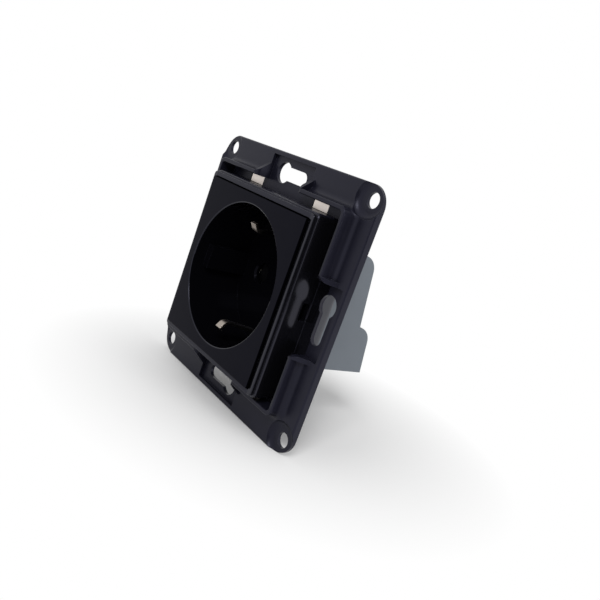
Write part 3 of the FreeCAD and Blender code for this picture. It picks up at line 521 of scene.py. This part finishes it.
def closed_mesh(name: str, points: Array, wrap_rows: bool) -> bpy.types.Mesh:
    """Turns grids of points that close round their columns into one mesh with its faces outwards.

    Each face joins a point to the next in its row and the two behind them. Rows that shrink to a
    point are merged.

    Args:
        name: Name of the mesh.
        points: Array of copies, rows, columns and the three coordinates, in metres.
        wrap_rows: Whether the last row joins the first, as on a ring.

    Returns:
        The mesh.
    """
    index = np.arange(points[..., 0].size).reshape(points.shape[:3])
    beside = np.roll(index, -1, axis=2)
    faces = np.stack([index, beside, np.roll(beside, -1, axis=1), np.roll(index, -1, axis=1)], axis=-1)
    if not wrap_rows:
        faces = faces[:, :-1]
    mesh = bpy.data.meshes.new(name)
    mesh.from_pydata(points.reshape(-1, 3).tolist(), [], faces.reshape(-1, 4).tolist())
    edit = bmesh.new()
    edit.from_mesh(mesh)
    bmesh.ops.remove_doubles(edit, verts=edit.verts, dist=MERGE)
    bmesh.ops.recalc_face_normals(edit, faces=edit.faces)
    edit.to_mesh(mesh)
    edit.free()
    mesh.polygons.foreach_set("use_smooth", np.ones(len(mesh.polygons), dtype=bool))
    return mesh


def rings(centres: Array, radius: float, half_width: float, height: float) -> Array:
    """Works out low round beads on a wall that faces +Y.

    A point is the centre, plus the radius with the half width times a cosine in the wall, plus the
    height times a sine along Y: an ellipse carried round a circle, half of it sunk in the wall.

    Args:
        centres: Centres of the rings, one row each.
        radius: Radius of the bead's middle.
        half_width: Half the bead's width.
        height: Height of the bead over the wall.

    Returns:
        Array of rings, rows, columns and coordinates.
    """
    round_it = np.linspace(0.0, 2 * np.pi, RING_STEPS, endpoint=False)
    section = np.linspace(0.0, 2 * np.pi, BEAD_STEPS, endpoint=False)[:, None]
    reach = radius + half_width * np.cos(section)
    rise = height * np.sin(section) + 0 * round_it
    bead = np.stack([reach * np.cos(round_it), rise, reach * np.sin(round_it)], axis=-1)
    return centres[:, None, None, :] + bead


def pips(centres: Array, radius: float, height: float) -> Array:
    """Works out low round scars on a wall that faces +Z.

    A point is the centre, plus the radius times the sine of a latitude round the middle, plus the
    height times its cosine along Z: a flat ball, half of it sunk in the wall.

    Args:
        centres: Centres of the scars, one row each.
        radius: Radius of a scar.
        height: Height of a scar over the wall.

    Returns:
        Array of scars, rows, columns and coordinates.
    """
    round_it = np.linspace(0.0, 2 * np.pi, SCAR_STEPS, endpoint=False)
    down = np.linspace(0.0, np.pi, SCAR_ROWS)[:, None]
    reach = radius * np.sin(down)
    rise = height * np.cos(down) + 0 * round_it
    ball = np.stack([reach * np.cos(round_it), reach * np.sin(round_it), rise], axis=-1)
    return centres[:, None, None, :] + ball


@dataclass
class SubAssembly:
    """A group of CAD nodes and new pieces that are built and dressed together.

    Attributes:
        palette: Materials already made, by name, shared by the groups.
    """

    palette: dict[str, bpy.types.Material]

    def finishes(self) -> dict[str, Finish]:
        """Gives each CAD node of the group its finish.

        Returns:
            The finishes by the nodes' names; a plain group has none.
        """
        return {}

    def build(self) -> None:
        """Makes the group's new pieces; a plain group has none."""

    def made_of(self, finish: Finish) -> bpy.types.Material:
        """Finds a finish's material, or makes it.

        Args:
            finish: The finish.

        Returns:
            Its material.
        """
        if finish.name not in self.palette:
            self.palette[finish.name] = finish.material()
        return self.palette[finish.name]

    def place(self, mesh: bpy.types.Mesh, finish: Finish, slot: Slot, body: Body) -> None:
        """Puts a new piece in the scene, with its finish, on its body.

        Args:
            mesh: The piece's mesh, already in its place.
            finish: The piece's finish.
            slot: The record's slot for that finish; not used.
            body: Body that carries the piece.
        """
        mesh.materials.append(self.made_of(finish))
        piece = bpy.data.objects.new(mesh.name, mesh)
        bpy.context.scene.collection.objects.link(piece)
        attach(piece, body.value)
        LOG.info("new piece %s in %s", mesh.name, finish.name)

    def dress(self) -> None:
        """Gives every CAD node of the group its material."""
        for node, finish in self.finishes().items():
            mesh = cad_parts[node].data
            mesh.materials.clear()
            mesh.materials.append(self.made_of(finish))
            LOG.info("node %s in %s", node, finish.name)


@dataclass
class Front(SubAssembly):
    """Mounting plate, socket insert and the metal frame that holds the plate's rear.

    Attributes:
        mark_line: Distance of the ejector marks from the middle, out to the flange, in millimetres.
        mark_side: Their distance from the flange's middle.
        mark_radius: Radius of a mark.
        mark_width: Half the width of its bead.
        mark_height: Height of its bead.
    """

    mark_line: float = 30.5
    mark_side: float = 19.0
    mark_radius: float = 1.5
    mark_width: float = 0.12
    mark_height: float = 0.05

    def finishes(self) -> dict[str, Finish]:
        """Gives each CAD node of the front its finish."""
        return {"mounting_plate": PLATE, "socket_insert": INSERT, "retaining_frame": STEEL}

    def build(self) -> None:
        """Adds the marks of the mould's ejector pins to the plate's rear: two on each side."""
        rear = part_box("mounting_plate")[1].y
        line = self.mark_line * MM
        side = self.mark_side * MM
        signs = np.array([(a, b) for a in (-1, 1) for b in (-1, 1)])
        depth = np.full(len(signs), rear)
        upright = np.column_stack([signs[:, 0] * line, depth, signs[:, 1] * side])
        level = np.column_stack([signs[:, 1] * side, depth, signs[:, 0] * line])
        centres = np.concatenate([upright, level])
        grid = rings(centres, self.mark_radius * MM, self.mark_width * MM, self.mark_height * MM)
        self.place(closed_mesh("plate_ejector_marks", grid, True), PLATE, Slot.PLATE, Body.SOCKET)


@dataclass
class RearCase(SubAssembly):
    """Cup behind the plate, rear housing and the screws that hold them.

    Attributes:
        scar_depth: Distance of the gate scar behind the housing's front, in millimetres.
        scar_radius: Radius of the scar.
        scar_height: Height of the scar.
    """

    scar_depth: float = 7.0
    scar_radius: float = 0.9
    scar_height: float = 0.08

    def finishes(self) -> dict[str, Finish]:
        """Gives each CAD node of the case its finish."""
        return {"well_cup": CUP, "rear_housing": HOUSING, "case_screws": SCREW}

    def build(self) -> None:
        """Adds the scar where the housing was cut from its runner, on the top."""
        low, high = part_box("rear_housing")
        centre = np.array([[0.0, low.y + self.scar_depth * MM, high.z]])
        grid = pips(centre, self.scar_radius * MM, self.scar_height * MM)
        self.place(closed_mesh("housing_gate_scar", grid, False), HOUSING, Slot.HOUSING, Body.SOCKET)


@dataclass
class Conductors(SubAssembly):
    """Earth strap and the brass that carries the current."""

    def finishes(self) -> dict[str, Finish]:
        """Gives each conductor its finish."""
        brass = ("earth_busbar", "live_contact", "neutral_contact", "live_busbar")
        return {"earth_strap": CLIP} | {node: BRASS for node in brass}


@dataclass
class ShutterGear(SubAssembly):
    """Carrier behind the well, and the shutter that its spring pushes down over the contacts."""

    def finishes(self) -> dict[str, Finish]:
        """Gives each piece of the shutter its finish."""
        return {"contact_carrier": CARRIER, "shutter": SHUTTER, "shutter_spring": SPRING}


@dataclass
class Electronics(SubAssembly):
    """Circuit board and what is soldered to it."""

    def finishes(self) -> dict[str, Finish]:
        """Gives the board and each component its finish."""
        cases = {"circuit_board": BOARD, "relay": RELAY, "power_module": MODULE, "radio_module": CAN}
        return cases | {"capacitor": SLEEVE, "varistor": VARISTOR, "fuse_resistor": FUSE}


@dataclass
class Terminals(SubAssembly):
    """Screw and cage of each of the three terminals."""

    def finishes(self) -> dict[str, Finish]:
        """Gives the three cages and screws their finishes."""
        cages = {f"terminal_cage_{wire.value}": NICKEL for wire in Wire}
        return cages | {f"terminal_screw_{wire.value}": SCREW for wire in Wire}


def link_mesh(name: str, corners: list[Place], faces: list[tuple[int, ...]]) -> bpy.types.Object:
    """Puts a simple mesh of the stage in the scene.

    Args:
        name: Name of the object.
        corners: Its points, in metres.
        faces: Numbers of each face's points.

    Returns:
        The object.
    """
    mesh = bpy.data.meshes.new(name)
    mesh.from_pydata(corners, [], faces)
    made = bpy.data.objects.new(name, mesh)
    bpy.context.scene.collection.objects.link(made)
    return made


def seen_or_mirrored(tree: bpy.types.NodeTree) -> Socket:
    """Adds the test for a ray from the camera, or one that a gloss or a clear piece sends on.

    Args:
        tree: Tree that gets the nodes.

    Returns:
        A socket that is 1 for such a ray.
    """
    rays = add_node(tree, "ShaderNodeLightPath", {}).outputs
    seen = {0: rays["Is Camera Ray"], 1: rays["Is Glossy Ray"]}
    either = add_node(tree, "ShaderNodeMath", seen, operation="MAXIMUM").outputs[0]
    shown = {0: either, 1: rays["Is Transmission Ray"]}
    return add_node(tree, "ShaderNodeMath", shown, operation="MAXIMUM").outputs[0]


@dataclass(frozen=True)
class Softbox:
    """Square lamp that faces the middle of the socket.

    Attributes:
        name: Name of the lamp.
        place: Where it stands, in metres.
        side: Length of its side, in metres.
        power: Radiant power, in watts.
    """

    name: str
    place: Place
    side: float
    power: float

    def light(self) -> None:
        """Adds the lamp, its back turned straight away from the socket and its sides level."""
        lamp = bpy.data.lights.new(self.name, "AREA")
        lamp.size = self.side
        lamp.energy = self.power
        holder = bpy.data.objects.new(self.name, lamp)
        bpy.context.scene.collection.objects.link(holder)
        back = np.array(self.place) / np.linalg.norm(self.place)
        side = np.cross((0.0, 0.0, 1.0), back)
        side /= np.linalg.norm(side)
        turn = np.eye(4)
        turn[:3, :3] = np.column_stack([side, np.cross(back, side), back])
        turn[:3, 3] = self.place
        holder.matrix_world = Matrix(turn.tolist())


@dataclass(frozen=True)
class BlackCard:
    """Curved black card that only the gloss of the plastic mirrors, so that its sides stay black.

    Attributes:
        radius: Distance from the socket, in metres.
        start: Angle of its first edge from +X towards +Y, in degrees.
        end: Angle of its last edge.
        height: Height over the floor, in metres.
        strips: Number of flat strips in the curve.
        colour: Colour of the card.
    """

    radius: float = 0.2
    start: float = -46.0
    end: float = 30.0
    height: float = 0.22
    strips: int = 24
    colour: str = "#0a0a0a"

    def stand(self, floor_z: float) -> None:
        """Stands the card on the floor: points on a circle, one row at the floor and one above.

        Args:
            floor_z: Height of the floor, in metres.
        """
        row = self.strips + 1
        turn = np.radians(np.linspace(self.start, self.end, row))
        across, along = self.radius * np.cos(turn), self.radius * np.sin(turn)
        foot = np.column_stack([across, along, np.full(row, floor_z)])
        corners = np.concatenate([foot, foot + (0.0, 0.0, self.height)])
        first = np.arange(self.strips)
        faces = np.column_stack([first, first + 1, first + row + 1, first + row])
        card = link_mesh("black_card", corners.tolist(), faces.tolist())
        card.visible_camera = card.visible_diffuse = card.visible_shadow = False
        material, tree = new_material("matt black card")
        black = add_node(tree, "ShaderNodeBsdfDiffuse", {"Color": linear(self.colour)})
        add_node(tree, "ShaderNodeOutputMaterial", {"Surface": black.outputs["BSDF"]})
        card.data.materials.append(material)


@dataclass
class Studio:
    """Pale floor, white surroundings, soft lamps and the camera.

    Attributes:
        floor_z: Height of the floor, in metres.
        floor_half: Half the floor's side, in metres.
        paper: Colour of the floor.
        white: Colour of the surroundings, and of the floor away from the socket.
        glow: Share of plain white in the floor that the camera sees, in the shade and away from it;
            the rest is lit paper that keeps the socket's shadow.
        fade: Distances from the shade's middle between which the share changes, in metres.
        shade: Middle of the shade behind the plate, on the floor, in metres.
        ambient: Strength of the surroundings' light on the object.
        eye: Camera's place, in metres.
        right: Direction of the image's right edge.
        down: Direction of the image's lower edge.
        focal_px: Focal length in pixels of the image.
        image_px: Image's width in pixels.
        sensor_mm: Width of the camera's sensor.
        lamps: The lamps.
        card: Card beside the camera.
    """

    floor_z: float
    floor_half: float = 3.0
    paper: str = "#f0f0f0"
    white: str = "#ffffff"
    glow: tuple[float, float] = (0.0, 1.0)
    fade: tuple[float, float] = (0.028, 0.075)
    shade: tuple[float, float] = (0.002, 0.022)
    ambient: float = 0.48
    eye: Place = (0.141824, -0.111348, 0.034011)
    right: Place = (0.58048478, 0.74068442, 0.33826618)
    down: Place = (0.36490726, 0.13474287, -0.92124212)
    focal_px: float = 657.583
    image_px: float = 600.0
    sensor_mm: float = 36.0
    lamps: tuple[Softbox, ...] = (
        Softbox("key softbox", (0.45, -0.55, 0.62), 0.35, 5.0),
        Softbox("side softbox", (0.9, 0.3, 0.16), 0.35, 3.5),
    )
    card: BlackCard = field(default_factory=BlackCard)

    def build(self) -> None:
        """Adds the stage, the light and the camera."""
        self.floor()
        self.surroundings()
        for lamp in self.lamps:
            lamp.light()
        self.card.stand(self.floor_z)
        self.camera()

    def floor(self) -> None:
        """Lays paper under the plate's lower edge, lifted to white away from the socket."""
        half = self.floor_half
        square = ((-half, -half), (half, -half), (half, half), (-half, half))
        corners = [(x, y, self.floor_z) for x, y in square]
        plane = link_mesh("floor", corners, [(0, 1, 2, 3)])
        material, tree = new_material("matt white paper")
        paper = add_node(tree, "ShaderNodeBsdfDiffuse", {"Color": linear(self.paper)})
        white = add_node(tree, "ShaderNodeEmission", {"Color": linear(self.white), "Strength": 1.0})
        place = add_node(tree, "ShaderNodeTexCoord", {}).outputs["Object"]
        ends = {0: place, 1: (*self.shade, self.floor_z)}
        away = add_node(tree, "ShaderNodeVectorMath", ends, operation="DISTANCE").outputs["Value"]
        span = {"Value": away, "From Min": self.fade[0], "From Max": self.fade[1]}
        span |= {"To Min": self.glow[0], "To Max": self.glow[1]}
        white_share = add_node(tree, "ShaderNodeMapRange", span).outputs["Result"]
        shown = {0: seen_or_mirrored(tree), 1: white_share}
        share = add_node(tree, "ShaderNodeMath", shown, operation="MULTIPLY").outputs[0]
        both = {0: share, 1: paper.outputs["BSDF"], 2: white.outputs["Emission"]}
        mix = add_node(tree, "ShaderNodeMixShader", both)
        add_node(tree, "ShaderNodeOutputMaterial", {"Surface": mix.outputs["Shader"]})
        plane.data.materials.append(material)

    def surroundings(self) -> None:
        """Makes the world white to the eye and in reflections, and a soft even light otherwise."""
        world = bpy.data.worlds.new("studio")
        bpy.context.scene.world = world
        world.use_nodes = True
        tree = world.node_tree
        tree.nodes.clear()
        span = {"Value": seen_or_mirrored(tree), "To Min": self.ambient, "To Max": 1.0}
        strength = add_node(tree, "ShaderNodeMapRange", span).outputs["Result"]
        sky = add_node(tree, "ShaderNodeBackground", {"Color": linear(self.white), "Strength": strength})
        add_node(tree, "ShaderNodeOutputWorld", {"Surface": sky.outputs["Background"]})

    def camera(self) -> None:
        """Sets the photograph's camera from its place, two of its axes and its lens."""
        lens = bpy.data.cameras.new("camera")
        lens.sensor_width = self.sensor_mm
        lens.sensor_fit = "HORIZONTAL"
        lens.lens = self.focal_px / self.image_px * self.sensor_mm
        lens.clip_start = MM
        holder = bpy.data.objects.new("camera", lens)
        bpy.context.scene.collection.objects.link(holder)
        right = np.array(self.right)
        up = -np.array(self.down)
        turn = np.eye(4)
        turn[:3, :3] = np.column_stack([right, up, np.cross(right, up)])
        turn[:3, 3] = self.eye
        holder.matrix_world = Matrix(turn.tolist())
        bpy.context.scene.camera = holder


def main() -> None:
    """Builds and dresses the sub-assemblies in order, then the stage."""
    logging.basicConfig(level=logging.INFO, format="%(message)s")
    palette: dict[str, bpy.types.Material] = {}
    for group in (Front, RearCase, Conductors, ShutterGear, Electronics, Terminals):
        made = group(palette)
        made.build()
        made.dress()
    Studio(floor_z=CAD_BOX[0].z).build()
    bpy.context.scene.view_settings.view_transform = "Standard"


if __name__ == "__main__":
    main()
